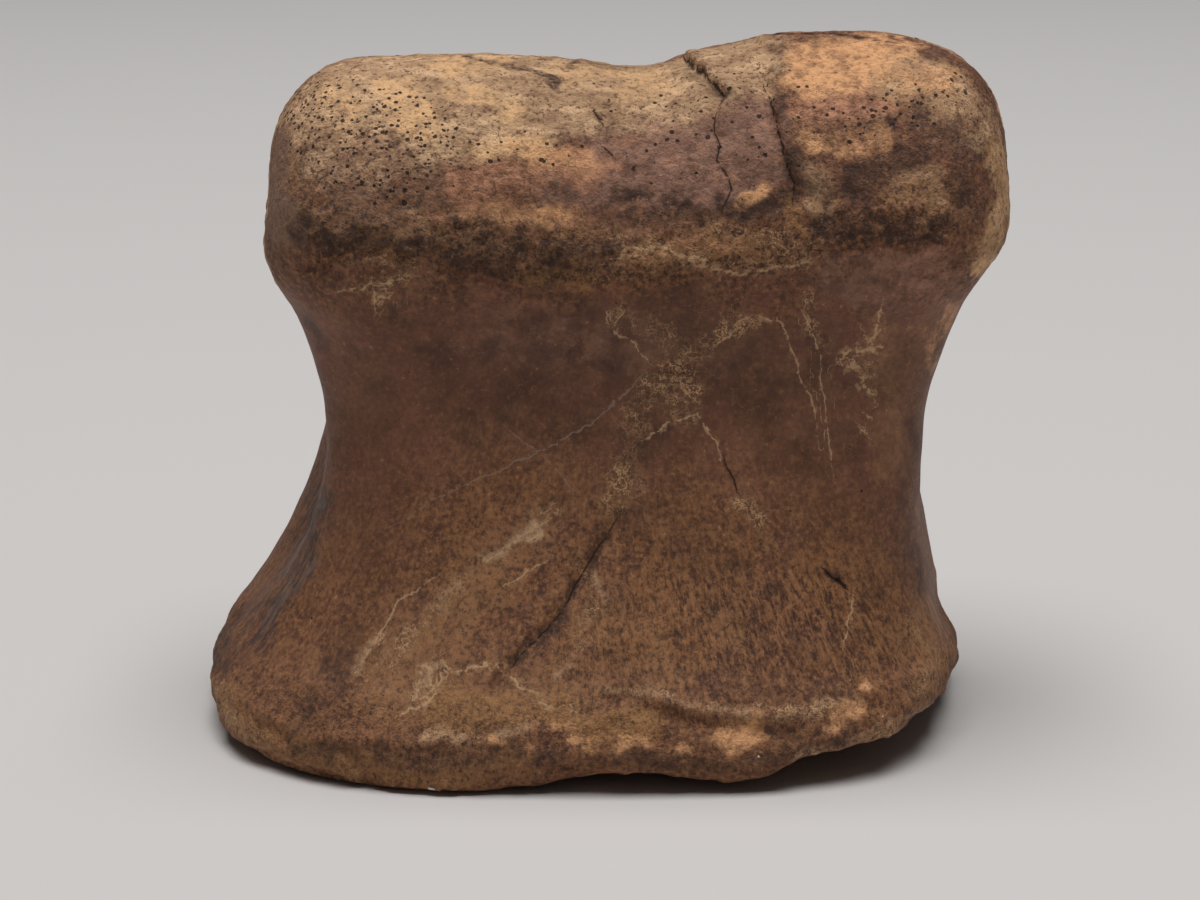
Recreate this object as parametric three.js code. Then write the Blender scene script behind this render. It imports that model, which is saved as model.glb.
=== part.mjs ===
// Fossil toe bone of a duck-billed dinosaur: the first bone of a toe, standing on its dished joint face,
// with the roller that carried the next toe bone on top. The bone is one solid.
// Millimetres, +Z up along the toe, +X to the viewer's right, and the front of the toe faces -Y.
import * as THREE from "three";
import { mergeVertices } from "three/addons/utils/BufferGeometryUtils.js";

const { clamp, smoothstep, lerp, degToRad, radToDeg, euclideanModulo } = THREE.MathUtils;

// Roller at the far end: a drum lying along X with rounded ends and a low saddle between its two swellings.
// Below its axis the drum is flattened, a little along its length and more at its ends, so that it runs into
// the shaft under a low lip. Its axis height and radius are [x, size] stations along the drum.
const ROLLER_LEFT = -48.8;
const ROLLER_RIGHT = 59.9;
const ROLLER_END_LEFT = 20;
const ROLLER_END_RIGHT = 26;
const ROLLER_END_SQUARENESS = 3.1;
const UNDERSIDE_FLATTENING = 1.2;
const END_FLATTENING = 2.4;
const ROLLER_AXIS_Y = 0.5;
const ROLLER_AXIS_HEIGHT = [[-50, 72.4], [0, 72.8], [30, 73.2], [60, 74.8]];
const ROLLER_RADIUS = [[-50, 25], [-36, 25.2], [-14, 25.5], [7, 23.2], [14, 23.8], [30, 24.2], [60, 22.4]];
const ROLLER_BACK_GROOVE = { x: 6, halfWidth: 17, depth: 4.5 };

// Two old breaks cross the roller from front to back. Each lifts the bone on its right by a small ledge.
// topX and frontX are where the break crosses the top and the front of the drum.
const LEDGES = [
  { topX: 11.5, frontX: 15.5, rise: 2.2, frontRise: 0.6, width: 8 },
  { topX: 22, frontX: 26, rise: 1.7, frontRise: 0.7, width: 8 },
];

// Side, front and back edges of the shaft and the flared base, as [height, distance] stations.
const LEFT_SIDE = [
  [0, -58.8], [5, -59.4], [10, -57.4], [18, -51.8], [28, -46.4], [40, -43], [50, -42.4], [60, -44.6],
  [74, -46.5],
];
const RIGHT_SIDE = [
  [0, 53.4], [6, 54.8], [12, 53.2], [20, 50.8], [30, 49.4], [40, 49], [50, 49.4], [60, 52.4], [74, 56],
];
const FRONT_SIDE = [
  [0, -43.2], [4, -44], [8, -42.6], [13, -39], [20, -35], [30, -29.4], [42, -24.8], [54, -22.4],
  [64, -23], [74, -23.8],
];
const BACK_SIDE = [
  [0, 41], [5, 42], [10, 39.6], [18, 33.4], [28, 26.6], [40, 21.6], [52, 19.8], [62, 20.6], [74, 22.4],
];
// How square the corners of the section are on its left and right: 2 is an ellipse.
const LEFT_SQUARENESS = [[0, 2.9], [20, 2.8], [45, 3.2], [74, 3]];
const RIGHT_SQUARENESS = [[0, 3.6], [20, 3.1], [45, 3.2], [74, 3]];
// How much wider than its middle the section is at the back, and narrower at the front, as a share.
const BACK_WIDENING = [[0, 0.02], [12, 0.05], [26, 0.1], [42, 0.06], [60, 0]];

// Dished joint face under the base. Its rim stands a little off the ground and comes down to it in low feet,
// each given by its angle round the base from +X through the back. The first two run together, the third
// stops short of the ground, and the front of the rim on the right rises clear of it.
const DISH_DEPTH = 7;
const RIM_ROUNDING = 5;
const RIM_LIFT = 3;
const RIM_FEET = [
  { angle: -124, spread: 28, drop: 3.2 },
  { angle: -108, spread: 11, drop: 2.4 },
  { angle: -68, spread: 8, drop: 2.8 },
  { angle: 42, spread: 20, drop: 3.5 },
  { angle: 142, spread: 20, drop: 3.5 },
];
const RIM_RISE = { angle: -40, spread: 22, rise: 2.8 };

// Shallow hollows: a ligament pit in each end of the roller, one in each flank behind the front edge of the
// shaft, one along the back of the shaft and the soft dip in front, under the roller.
const HOLLOWS = [
  { at: [ROLLER_LEFT, 4, 71], size: [8, 10, 10], depth: 2.2 },
  { at: [ROLLER_RIGHT, 4, 72], size: [8, 10, 10], depth: 2.6 },
  { at: [-44, -1, 34], size: [10, 8, 20], depth: 2.4 },
  { at: [50, 2, 36], size: [10, 9, 18], depth: 1.2 },
  { at: [4, 24, 38], size: [22, 14, 26], depth: 3.4 },
  { at: [8, -24, 58], size: [30, 10, 10], depth: 0.9 },
];

// Fillet between the roller and the shaft.
const NECK_FILLET = 5;

// A smooth curve through a few [place, size] stations, read by its place.
function profile(stations) {
  const samplesPerStation = 12;
  const curve = new THREE.SplineCurve(stations.map(([place, size]) => new THREE.Vector2(place, size)));
  const points = curve.getPoints(stations.length * samplesPerStation);
  return (place) => {
    const next = points.findIndex((point) => point.x >= place);
    if (next === -1) return points.at(-1).y;
    if (next === 0) return points[0].y;
    const [before, after] = [points[next - 1], points[next]];
    return lerp(before.y, after.y, (place - before.x) / (after.x - before.x));
  };
}

const rollerHeight = profile(ROLLER_AXIS_HEIGHT);
const rollerRadius = profile(ROLLER_RADIUS);
const leftSide = profile(LEFT_SIDE);
const rightSide = profile(RIGHT_SIDE);
const frontSide = profile(FRONT_SIDE);
const backSide = profile(BACK_SIDE);
const leftSquareness = profile(LEFT_SQUARENESS);
const rightSquareness = profile(RIGHT_SQUARENESS);
const backWidening = profile(BACK_WIDENING);

// Rounded joining (of two solids) and cutting: k is the width over which the two surfaces run together.
function smoothMin(a, b, k) {
  const overlap = Math.max(k - Math.abs(a - b), 0) / k;
  return Math.min(a, b) - (overlap * overlap * k) / 4;
}

function smoothMax(a, b, k) {
  return -smoothMin(-a, -b, k);
}

function bell(distance) {
  return Math.exp(-distance * distance);
}

// The field functions below are negative inside their solid and positive outside it, roughly in millimetres.

function rollerField(p) {
  const y = p.y - ROLLER_AXIS_Y;
  const pastLeft = (ROLLER_LEFT + ROLLER_END_LEFT - p.x) / ROLLER_END_LEFT;
  const pastRight = (p.x - ROLLER_RIGHT + ROLLER_END_RIGHT) / ROLLER_END_RIGHT;
  const pastEnd = Math.max(pastLeft, pastRight, 0);
  const aboveAxis = p.z - rollerHeight(p.x);
  const flattening = lerp(UNDERSIDE_FLATTENING, END_FLATTENING, smoothstep(pastEnd, 0, 1));
  const z = aboveAxis < 0 ? aboveAxis * flattening : aboveAxis;
  const turnFromTop = Math.atan2(y, z);
  const towardsFront = smoothstep(-turnFromTop, degToRad(10), degToRad(75));
  const towardsBack = smoothstep(turnFromTop, degToRad(30), degToRad(110));
  const groove = ROLLER_BACK_GROOVE;
  let radius = rollerRadius(p.x) - towardsBack * groove.depth * bell((p.x - groove.x) / groove.halfWidth);
  for (const ledge of LEDGES) {
    const breakX = lerp(ledge.topX, ledge.frontX, towardsFront);
    const rise = lerp(ledge.rise, ledge.frontRise, towardsFront) * (1 - towardsBack);
    radius += rise * smoothstep(p.x, breakX - ledge.width / 2, breakX + ledge.width / 2);
  }
  const n = ROLLER_END_SQUARENESS;
  const reach = (pastEnd ** n + (Math.hypot(y, z) / radius) ** n) ** (1 / n);
  return (reach - 1) * radius;
}

function turnBetween(angle, other) {
  return euclideanModulo(angle - other + 180, 360) - 180;
}

function rimHeight(angle) {
  let height = RIM_LIFT + RIM_RISE.rise * bell(turnBetween(angle, RIM_RISE.angle) / RIM_RISE.spread);
  for (const foot of RIM_FEET) {
    height -= foot.drop * bell(turnBetween(angle, foot.angle) / foot.spread);
  }
  return height;
}

function shaftField(p) {
  const [left, right, front, back] = [leftSide, rightSide, frontSide, backSide].map((side) => side(p.z));
  const halfWidth = (right - left) / 2;
  const halfDepth = (back - front) / 2;
  const v = (p.y - (front + back) / 2) / halfDepth;
  const u = (p.x - (left + right) / 2) / (halfWidth * (1 + backWidening(p.z) * clamp(v, -1, 1)));
  const n = u < 0 ? leftSquareness(p.z) : rightSquareness(p.z);
  const reach = (Math.abs(u) ** n + Math.abs(v) ** n) ** (1 / n);
  const wall = (reach - 1) * Math.min(halfWidth, halfDepth);
  const inward = clamp(1 - reach * reach, 0, 1);
  const rim = rimHeight(radToDeg(Math.atan2(v, u))) - RIM_ROUNDING / 4;
  const jointFace = lerp(rim, DISH_DEPTH, inward);
  return smoothMax(smoothMax(wall, jointFace - p.z, RIM_ROUNDING), p.z - rollerHeight(p.x), 1);
}

function hollowDepth(p) {
  let depth = 0;
  for (const { at, size, depth: deepest } of HOLLOWS) {
    const away = Math.hypot((p.x - at[0]) / size[0], (p.y - at[1]) / size[1], (p.z - at[2]) / size[2]);
    depth += deepest * bell(away);
  }
  return depth;
}

function boneField(p) {
  const body = smoothMin(rollerField(p), shaftField(p), NECK_FILLET) + hollowDepth(p);
  return Math.max(body, -p.z);
}

// Skin of the bone: a box of small squares round it, each corner drawn in towards a core inside the bone
// until it lies on the surface. The squares crowd towards the edges of the box, where the bone curves most.
const BOX_STEPS = { x: 36, y: 24, z: 27 };
const EDGE_CROWDING = 0.35;
const CAGE = { centre: new THREE.Vector3(0, 0, 53.5), half: new THREE.Vector3(66, 47, 54) };
const CORE = { centre: new THREE.Vector3(3, 0, 46), half: new THREE.Vector3(34, 9, 31) };
const HALVINGS = 30;

function crowdToEdges(share) {
  return share + (EDGE_CROWDING * Math.sin(Math.PI * share)) / Math.PI;
}

function pointOnBone(corner) {
  const inside = CORE.half.clone().multiply(corner).add(CORE.centre);
  const outside = CAGE.half.clone().multiply(corner).add(CAGE.centre);
  const middle = new THREE.Vector3();
  for (let i = 0; i < HALVINGS; i++) {
    middle.addVectors(inside, outside).multiplyScalar(0.5);
    if (boneField(middle) < 0) inside.copy(middle);
    else outside.copy(middle);
  }
  return middle;
}

function boneGeometry() {
  const box = new THREE.BoxGeometry(2, 2, 2, BOX_STEPS.x, BOX_STEPS.y, BOX_STEPS.z);
  box.deleteAttribute("normal");
  box.deleteAttribute("uv");
  const skin = mergeVertices(box);
  const places = skin.getAttribute("position");
  const corner = new THREE.Vector3();
  for (let i = 0; i < places.count; i++) {
    corner.set(...corner.fromBufferAttribute(places, i).toArray().map(crowdToEdges));
    places.setXYZ(i, ...pointOnBone(corner));
  }
  skin.computeBoundingBox();
  skin.computeVertexNormals();
  return skin;
}

const fossil = new THREE.MeshStandardMaterial({ color: 0x6b4a33, roughness: 0.75, metalness: 0 });
const toeBone = new THREE.Mesh(boneGeometry(), fossil);
toeBone.name = "toe_bone";

// The part's origin is under the middle of the bone, on the surface that it stands on.
const { min, max } = toeBone.geometry.boundingBox;
toeBone.position.set(-(min.x + max.x) / 2, -(min.y + max.y) / 2, -min.z);

const part = new THREE.Group();
part.add(toeBone);

export default part;
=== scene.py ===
import math

import bpy
import numpy as np
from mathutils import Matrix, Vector, noise


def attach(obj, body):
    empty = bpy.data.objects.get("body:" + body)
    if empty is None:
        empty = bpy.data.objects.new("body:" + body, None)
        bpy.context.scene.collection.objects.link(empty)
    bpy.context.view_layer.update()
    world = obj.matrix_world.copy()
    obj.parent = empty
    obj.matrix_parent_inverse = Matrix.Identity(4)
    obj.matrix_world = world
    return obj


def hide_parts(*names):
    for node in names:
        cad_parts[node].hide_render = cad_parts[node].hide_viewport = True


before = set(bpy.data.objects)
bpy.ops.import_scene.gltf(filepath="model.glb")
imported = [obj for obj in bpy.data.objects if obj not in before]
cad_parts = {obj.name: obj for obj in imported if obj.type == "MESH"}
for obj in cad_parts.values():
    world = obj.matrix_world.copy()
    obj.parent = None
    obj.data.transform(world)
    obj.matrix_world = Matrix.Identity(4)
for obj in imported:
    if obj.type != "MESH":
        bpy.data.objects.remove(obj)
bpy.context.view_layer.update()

# Camera
# A stills camera with a short telephoto lens, half a metre from the bone and a little above it.
# It is set first, because marks on the bone are placed by where they show in its 1200 by 900 frame.
PHOTO_WIDTH = 1200
PHOTO_HEIGHT = 900
SENSOR_WIDTH_MM = 36
LENS_MM = 96
CAMERA_DISTANCE = 0.48
CAMERA_RISE = math.radians(15)
CAMERA_AIM = Vector((0.00001, 0.00124, 0.0387))

camera_back = Vector((0, -math.cos(CAMERA_RISE), math.sin(CAMERA_RISE)))
bpy.ops.object.camera_add(
    location=CAMERA_AIM + camera_back * CAMERA_DISTANCE,
    rotation=(math.pi / 2 - CAMERA_RISE, 0, 0),
)
camera = bpy.context.object
camera.data.lens = LENS_MM
camera.data.sensor_width = SENSOR_WIDTH_MM
camera.data.clip_start = 0.01
bpy.context.scene.camera = camera

# Bone
# One piece of bone turned to stone: the solid's own form, closely meshed on the side that faces the camera
# and more openly behind and below, so that breaks, cracks and chips can be worked into its skin.
MM = 0.001
MERGE_DISTANCE = 0.001 * MM
ROUNDING_LEVELS = 2
VOXEL = 0.5 * MM
CALMING_SHARE = 0.5
CALMING_ROUNDS = 6
MOST_TRIANGLES = 196000
WORKED_SIDE = -0.06

bpy.ops.object.select_all(action="DESELECT")
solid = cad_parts["toe_bone"]
bone = bpy.data.objects.new("fossil_toe_bone", solid.data.copy())
bpy.context.scene.collection.objects.link(bone)
bone.data.materials.clear()
bone.select_set(True)
bpy.context.view_layer.objects.active = bone
bpy.ops.object.mode_set(mode="EDIT")
bpy.ops.mesh.select_all(action="SELECT")
bpy.ops.mesh.remove_doubles(threshold=MERGE_DISTANCE)
bpy.ops.mesh.tris_convert_to_quads(face_threshold=math.pi, shape_threshold=math.pi)
bpy.ops.object.mode_set(mode="OBJECT")
rounding = bone.modifiers.new("rounding", "SUBSURF")
rounding.levels = ROUNDING_LEVELS
rounding.render_levels = ROUNDING_LEVELS
bpy.ops.object.modifier_apply(modifier=rounding.name)
even_skin = bone.modifiers.new("even_skin", "REMESH")
even_skin.mode = "VOXEL"
even_skin.voxel_size = VOXEL
bpy.ops.object.modifier_apply(modifier=even_skin.name)
calming = bone.modifiers.new("calming", "SMOOTH")
calming.factor = CALMING_SHARE
calming.iterations = CALMING_ROUNDS
bpy.ops.object.modifier_apply(modifier=calming.name)


def read_skin():
    """The skin's points and outward normals, in metres."""
    count = len(bone.data.vertices)
    points = np.zeros(count * 3)
    normals = np.zeros(count * 3)
    bone.data.vertices.foreach_get("co", points)
    bone.data.vertex_normals.foreach_get("vector", normals)
    return points.reshape(-1, 3), normals.reshape(-1, 3)


def facing_camera(points, normals):
    """How squarely each point faces the camera: 1 is straight on, and below 0 is turned away."""
    to_camera = np.array(camera.location) - points
    to_camera /= np.linalg.norm(to_camera, axis=1)[:, None]
    return (normals * to_camera).sum(axis=1)


points, normals = read_skin()
turned_away = np.flatnonzero(facing_camera(points, normals) < WORKED_SIDE)
open_mesh = bone.vertex_groups.new(name="open_mesh")
open_mesh.add(turned_away.tolist(), 1.0, "REPLACE")
triangles = sum(len(face.vertices) - 2 for face in bone.data.polygons)
thinning = bone.modifiers.new("thinning", "DECIMATE")
thinning.ratio = MOST_TRIANGLES / triangles
thinning.vertex_group = open_mesh.name
bpy.ops.object.modifier_apply(modifier=thinning.name)
bone.vertex_groups.clear()
points, normals = read_skin()
facing = facing_camera(points, normals)

# Roller
# The drum-shaped joint on top. Its skin is thin and worn, so the spongy bone shows as open pores, and iron
# and manganese from the ground have stained it tan, orange, purple-brown and black. Shade is painted in as
# well: darker at its ends and along its lower edge, where it turns under, and beside its first break.
SEED_SHIFT = (7.31, 3.17, 5.53)
ROLLER_EDGE = (63, 71)


def soft_step(low, high, value):
    """0 below low, 1 above high, and an S-curve between them."""
    share = np.clip((value - low) / (high - low), 0, 1)
    return share * share * (3 - 2 * share)


def lumps(size_mm, seed):
    """Smooth random values, about -1 to 1, whose lumps are this many millimetres across."""
    shift = Vector([seed * step for step in SEED_SHIFT])
    return np.array([noise.noise(Vector(point) / (size_mm * MM) + shift) for point in points])


def photo_places():
    """Where each point of the skin shows in the camera's frame, in its pixels."""
    from_camera = points - np.array(camera.location)
    up = np.array((0, math.sin(CAMERA_RISE), math.cos(CAMERA_RISE)))
    away = from_camera @ np.array(-camera_back)
    pixels = PHOTO_WIDTH * LENS_MM / SENSOR_WIDTH_MM
    across = PHOTO_WIDTH / 2 + pixels * from_camera[:, 0] / away
    down = PHOTO_HEIGHT / 2 - pixels * (from_camera @ up) / away
    return np.column_stack((across, down))


# Stains and painted shade have ragged edges and cracks wander a little, so both are drawn on a slightly
# stirred frame.
PATCH_STIR = 9
PATCH_FINE_STIR = 5
LINE_STIR = 1.5
LINE_FINE_STIR = 1.2
OUT_OF_SIGHT = -0.02
FULLY_SEEN = 0.16
RAGGED_SIGHT = 0.10

places = photo_places()
stir = np.column_stack((lumps(4.5, 1), lumps(4.5, 2)))
fine_stir = np.column_stack((lumps(1.6, 3), lumps(1.6, 4)))
patch_places = places + PATCH_STIR * stir + PATCH_FINE_STIR * fine_stir
line_places = places + LINE_STIR * stir + LINE_FINE_STIR * fine_stir
seen = soft_step(OUT_OF_SIGHT, FULLY_SEEN, facing + RAGGED_SIGHT * stir[:, 0])
height_mm = points[:, 2] / MM

# What is painted and drawn is kept as one value for each point of the skin, and what is carved as its lift.
layers = {}
lift = np.zeros(len(points))


def distances(spots, route):
    """Signed distance in pixels from each spot to a route, and how far along the route it is nearest."""
    nearest = np.full(len(spots), 1e9)
    side = np.ones(len(spots))
    along = np.zeros(len(spots))
    route = np.array(route, float)
    if len(route) == 1:
        return np.linalg.norm(spots - route[0], axis=1), along
    for index, (start, end) in enumerate(zip(route[:-1], route[1:])):
        step = end - start
        offset = spots - start
        share = np.clip(offset @ step / (step @ step), 0, 1)
        away = np.linalg.norm(offset - share[:, None] * step, axis=1)
        closer = away < nearest
        nearest[closer] = away[closer]
        side[closer] = np.sign(step[0] * offset[closer, 1] - step[1] * offset[closer, 0])
        along[closer] = (index + share[closer]) / (len(route) - 1)
    return nearest * np.where(side < 0, -1, 1), along


FIRM_SHARE = 0.25
FADED_SHARE = 1.3


def paint(layer, strength, radius, route):
    """Lays a soft-edged stain or patch of painted shade of this strength, 0 to 1, along a route."""
    held = layers.setdefault(layer, np.zeros(len(points)))
    away = np.abs(distances(patch_places, route)[0])
    cover = strength * (1 - soft_step(FIRM_SHARE * radius, FADED_SHARE * radius, away)) * seen
    np.maximum(held, cover, out=held)


def paint_stains_and_shade(stains):
    """Paints every stain and painted shade of a piece: for each layer, rows of strength, radius and route,
    in pixels.
    """
    for layer, rows in stains.items():
        for strength, radius, route in rows:
            paint(layer, strength, radius, route)


FAR_FROM_LINES = 60.0
TAPERED_SHARE = 0.12
TAPERED_WIDTH = 0.35
LEAST_SEEN = 0.02


def draw(layer, half_width, route):
    """Draws a thin line: the layer holds the distance to its nearest line, in half widths of that line."""
    held = layers.setdefault(layer, np.full(len(points), FAR_FROM_LINES))
    away, along = distances(line_places, route)
    full = soft_step(0, TAPERED_SHARE, along) * (1 - soft_step(1 - TAPERED_SHARE, 1, along))
    taper = TAPERED_WIDTH + (1 - TAPERED_WIDTH) * full
    own = away / (half_width * taper) / np.maximum(seen, LEAST_SEEN)
    closer = np.abs(own) < np.abs(held)
    held[closer] = own[closer]


def draw_lines(lines):
    """Draws every line of a piece: for each layer, rows of half width and route, in pixels."""
    for layer, rows in lines.items():
        for half_width, route in rows:
            draw(layer, half_width, route)


def carve(depth_mm, radius, route):
    """Sinks a groove or hollow along a route, or raises a swelling where the depth is negative."""
    away = np.abs(distances(line_places, route)[0])
    lift[:] -= depth_mm * MM * (1 - soft_step(0, radius, away)) * seen


BREAK_SHARPNESS = 2.5
BREAK_OPENS = (0, 0.05)
BREAK_CLOSES = (0.8, 1)


def break_edge(rise_mm, reach, route):
    """Sharpens a break across the bone: the side to the right of the route stands up, the other drops."""
    away, along = distances(line_places, route)
    fade = soft_step(*BREAK_OPENS, along) * (1 - soft_step(*BREAK_CLOSES, along))
    step = np.tanh(away / BREAK_SHARPNESS) * (1 - soft_step(0, reach, np.abs(away)))
    lift[:] -= rise_mm * MM / 2 * step * fade * seen


on_roller = soft_step(*ROLLER_EDGE, height_mm + 4 * stir[:, 0] + 3 * lumps(12, 7))

ROLLER_STAINS_AND_SHADE = {
    "tan": [
        (1.0, 50, [(390, 92), (450, 78), (560, 82), (640, 88), (700, 78), (745, 62)]),
        (0.95, 46, [(318, 118), (350, 92), (390, 80)]),
        (0.5, 44, [(320, 155), (370, 155)]),
        (0.85, 34, [(425, 145), (500, 130), (590, 110)]),
        (0.7, 26, [(690, 110), (730, 90), (760, 80)]),
        (0.75, 30, [(890, 75), (930, 85), (960, 100)]),
        (0.42, 24, [(900, 175), (925, 180), (935, 205)]),
        (0.6, 16, [(995, 150), (1003, 195), (996, 235), (980, 265), (962, 285)]),
        (0.6, 18, [(812, 175), (820, 205)]),
        (0.55, 24, [(955, 85), (972, 110), (985, 140)]),
    ],
    "gold": [
        (1.0, 24, [(394, 92), (406, 106), (420, 122)]),
        (0.3, 22, [(335, 120), (360, 135)]),
        (0.6, 18, [(332, 96), (350, 106)]),
        (0.9, 17, [(486, 150), (515, 140), (540, 146)]),
        (0.62, 18, [(455, 92), (490, 98), (512, 116)]),
        (0.62, 15, [(555, 68), (600, 72), (640, 82)]),
        (0.7, 14, [(440, 64), (500, 62)]),
        (0.5, 20, [(630, 90), (660, 84)]),
        (0.4, 14, [(998, 155), (1004, 195), (996, 235), (978, 268)]),
    ],
    "orange": [
        (0.55, 16, [(520, 150), (560, 160), (590, 166)]),
        (1.0, 30, [(800, 72), (840, 70), (870, 62)]),
        (0.9, 14, [(880, 50), (912, 52)]),
        (0.55, 18, [(812, 140), (850, 148), (885, 140)]),
        (0.55, 20, [(905, 80), (945, 82)]),
        (0.9, 12, [(745, 198), (766, 191)]),
        (0.45, 14, [(474, 218), (520, 222), (555, 220)]),
        (0.45, 9, [(402, 229), (440, 232)]),
        (0.6, 11, [(545, 214), (566, 212)]),
    ],
    "red": [
        (0.62, 24, [(460, 182), (530, 176), (600, 170)]),
        (0.7, 28, [(812, 105), (850, 105), (890, 100)]),
        (0.45, 30, [(440, 210), (520, 220), (590, 225), (650, 215)]),
        (0.55, 20, [(680, 235), (730, 245)]),
    ],
    "purple": [
        (0.95, 40, [(610, 165), (660, 150), (720, 130), (760, 130)]),
        (0.8, 26, [(560, 185), (620, 195), (700, 190), (770, 165)]),
        (0.6, 20, [(560, 120), (590, 135)]),
    ],
    # dusk: brown-grey darkening at the roller's ends and along its lower edge, where it turns away and
    # under: partly stain, partly painted shade.
    "dusk_stain_and_shade": [
        (0.7, 26, [(270, 140), (272, 190), (288, 232)]),
        (0.42, 34, [(300, 208), (350, 212), (410, 218)]),
        (0.32, 44, [(320, 180), (380, 180), (430, 188)]),
        (0.35, 26, [(930, 120), (965, 150)]),
    ],
    "dark": [
        # The first two bands here, and the wide one at 0.72, run along the roller's lower edge above the
        # lip: partly stain, partly painted shade where the roller turns under.
        (0.8, 18, [(300, 232), (340, 240), (390, 238), (415, 247)]),
        (0.75, 13, [(425, 255), (470, 262), (520, 276), (560, 284)]),
        (0.95, 15, [(452, 222), (482, 226)]),
        (0.95, 13, [(492, 240), (512, 246)]),
        (0.72, 26, [(440, 240), (520, 250), (600, 256)]),
        (0.55, 14, [(428, 206), (450, 210)]),
        (0.6, 13, [(540, 190), (575, 193)]),
        (0.5, 16, [(600, 232), (640, 232)]),
        (0.68, 20, [(530, 240), (570, 250), (600, 262)]),
        (0.62, 26, [(600, 205), (650, 205), (700, 215)]),
        (0.75, 14, [(722, 200), (745, 212), (790, 198)]),
        (0.62, 18, [(795, 160), (800, 180), (828, 195)]),
        (0.95, 17, [(825, 224), (870, 230), (930, 232)]),
        (0.68, 22, [(920, 148), (880, 168), (855, 195)]),
        (0.3, 24, [(962, 130), (980, 145), (968, 168)]),
        (0.58, 20, [(958, 190), (965, 215), (955, 225)]),
        (0.6, 10, [(868, 134), (890, 124)]),
        (0.85, 6, [(468, 57), (505, 65), (532, 73), (556, 82)]),
        (0.7, 4, [(570, 60), (600, 64)]),
        # Painted shadow along the low side of the first break, under the raised piece.
        (0.6, 9, [(688, 70), (708, 84), (722, 96)]),
        (0.55, 9, [(775, 52), (774, 84), (784, 108), (792, 130)]),
    ],
    "ochre": [
        (0.5, 22, [(640, 255), (700, 245), (750, 240)]),
        (0.85, 12, [(790, 205), (797, 232)]),
        (0.5, 17, [(994, 150), (1002, 195), (994, 235), (974, 270)]),
        (0.6, 16, [(520, 275), (580, 285)]),
    ],
    "pores": [
        (1.0, 44, [(318, 130), (350, 148), (395, 166)]),
        (0.6, 34, [(310, 105), (360, 110), (430, 130), (440, 160)]),
        (0.42, 22, [(480, 150), (530, 145), (560, 160)]),
        (0.5, 30, [(860, 120), (910, 105), (950, 95)]),
        (0.22, 60, [(640, 130), (740, 120), (820, 120)]),
    ],
    "speckle": [
        (0.5, 34, [(290, 190), (320, 215), (400, 225)]),
        (0.85, 34, [(420, 225), (500, 230), (580, 235)]),
        (0.6, 30, [(600, 240), (670, 245), (750, 230)]),
        (0.5, 22, [(816, 180), (826, 205)]),
        (0.85, 24, [(895, 185), (920, 185), (940, 205)]),
        (0.6, 26, [(900, 85), (950, 95)]),
    ],
}
ROLLER_LINES = {
    "crack": [
        (0.9, [(684, 58), (704, 71), (713, 83), (725, 93)]),
        (0.5, [
            (725, 93), (715, 112), (714, 132), (721, 145), (716, 160), (727, 176), (731, 190),
            (722, 210),
        ]),
        (0.8, [(763, 84), (770, 100), (775, 118), (779, 133), (786, 159), (794, 186), (792, 204)]),
        (1.0, [(592, 110), (598, 118), (604, 126)]),
        (1.0, [(601, 147), (606, 151), (612, 157)]),
        (0.5, [(752, 36), (800, 34), (850, 37), (900, 44)]),
    ],
}
ROLLER_GROOVES = [
    (0.5, 5, [(686, 60), (704, 72), (713, 84), (725, 94)]),
    (0.35, 5, [(716, 112), (714, 132), (720, 145), (716, 160), (727, 176), (729, 190)]),
    (0.6, 9, [(766, 84), (773, 108), (779, 134), (786, 160), (796, 196)]),
    (0.7, 11, [(775, 50), (771, 70), (768, 90)]),
]
# The right-hand pieces were set back a little proud of the left when the bone was mended.
ROLLER_BREAKS = [
    (1.3, 22, [(678, 52), (686, 58), (704, 70), (714, 82), (726, 92), (718, 112), (716, 130)]),
    (0.9, 15, [(750, 34), (772, 50), (765, 86), (774, 108), (780, 134), (787, 160), (797, 196)]),
    (0.6, 11, [(783, 48), (785, 84), (795, 104), (806, 116)]),
]

paint_stains_and_shade(ROLLER_STAINS_AND_SHADE)
draw_lines(ROLLER_LINES)
for depth, radius, route in ROLLER_GROOVES:
    carve(depth, radius, route)
for rise, reach, route in ROLLER_BREAKS:
    break_edge(rise, reach, route)

# Lip
# The rough edge of the joint's old gristle cap, under the front of the roller: a nubbly, mottled band with
# pale mineral threads, that ends against the smooth shaft.
LIP_MIDDLE = [(330, 240), (430, 240), (530, 255), (640, 260), (760, 240), (930, 230)]
LIP_EDGE = [(250, 262), (300, 268), (332, 259), (379, 251), (414, 259), (456, 269), (499, 284), (536, 291)]
LIP_EDGE += [(573, 296), (613, 295), (670, 300), (730, 286), (780, 268), (824, 247), (880, 243), (936, 244)]
LIP_EDGE += [(958, 262), (990, 290)]
LIP_RAGGEDNESS = 5
LIP_EDGE_HALF_WIDTH = 4
LIP_BAND = (16, 34)


def bumps(height_mm, size_mm, seed):
    """Lumps of this height and size, in metres of lift."""
    return height_mm * MM * lumps(size_mm, seed)


past_lip = distances(places + LIP_RAGGEDNESS * fine_stir, LIP_EDGE)[0]
above_lip = 1 - soft_step(-LIP_EDGE_HALF_WIDTH, LIP_EDGE_HALF_WIDTH, past_lip)
for layer in layers:
    if layer not in ("crack", "orange"):
        layers[layer] *= above_lip
on_lip = 1 - soft_step(*LIP_BAND, np.abs(distances(patch_places, LIP_MIDDLE)[0]))
lift += on_lip * seen * (bumps(0.35, 2.2, 5) + bumps(0.21, 1.1, 6))

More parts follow.
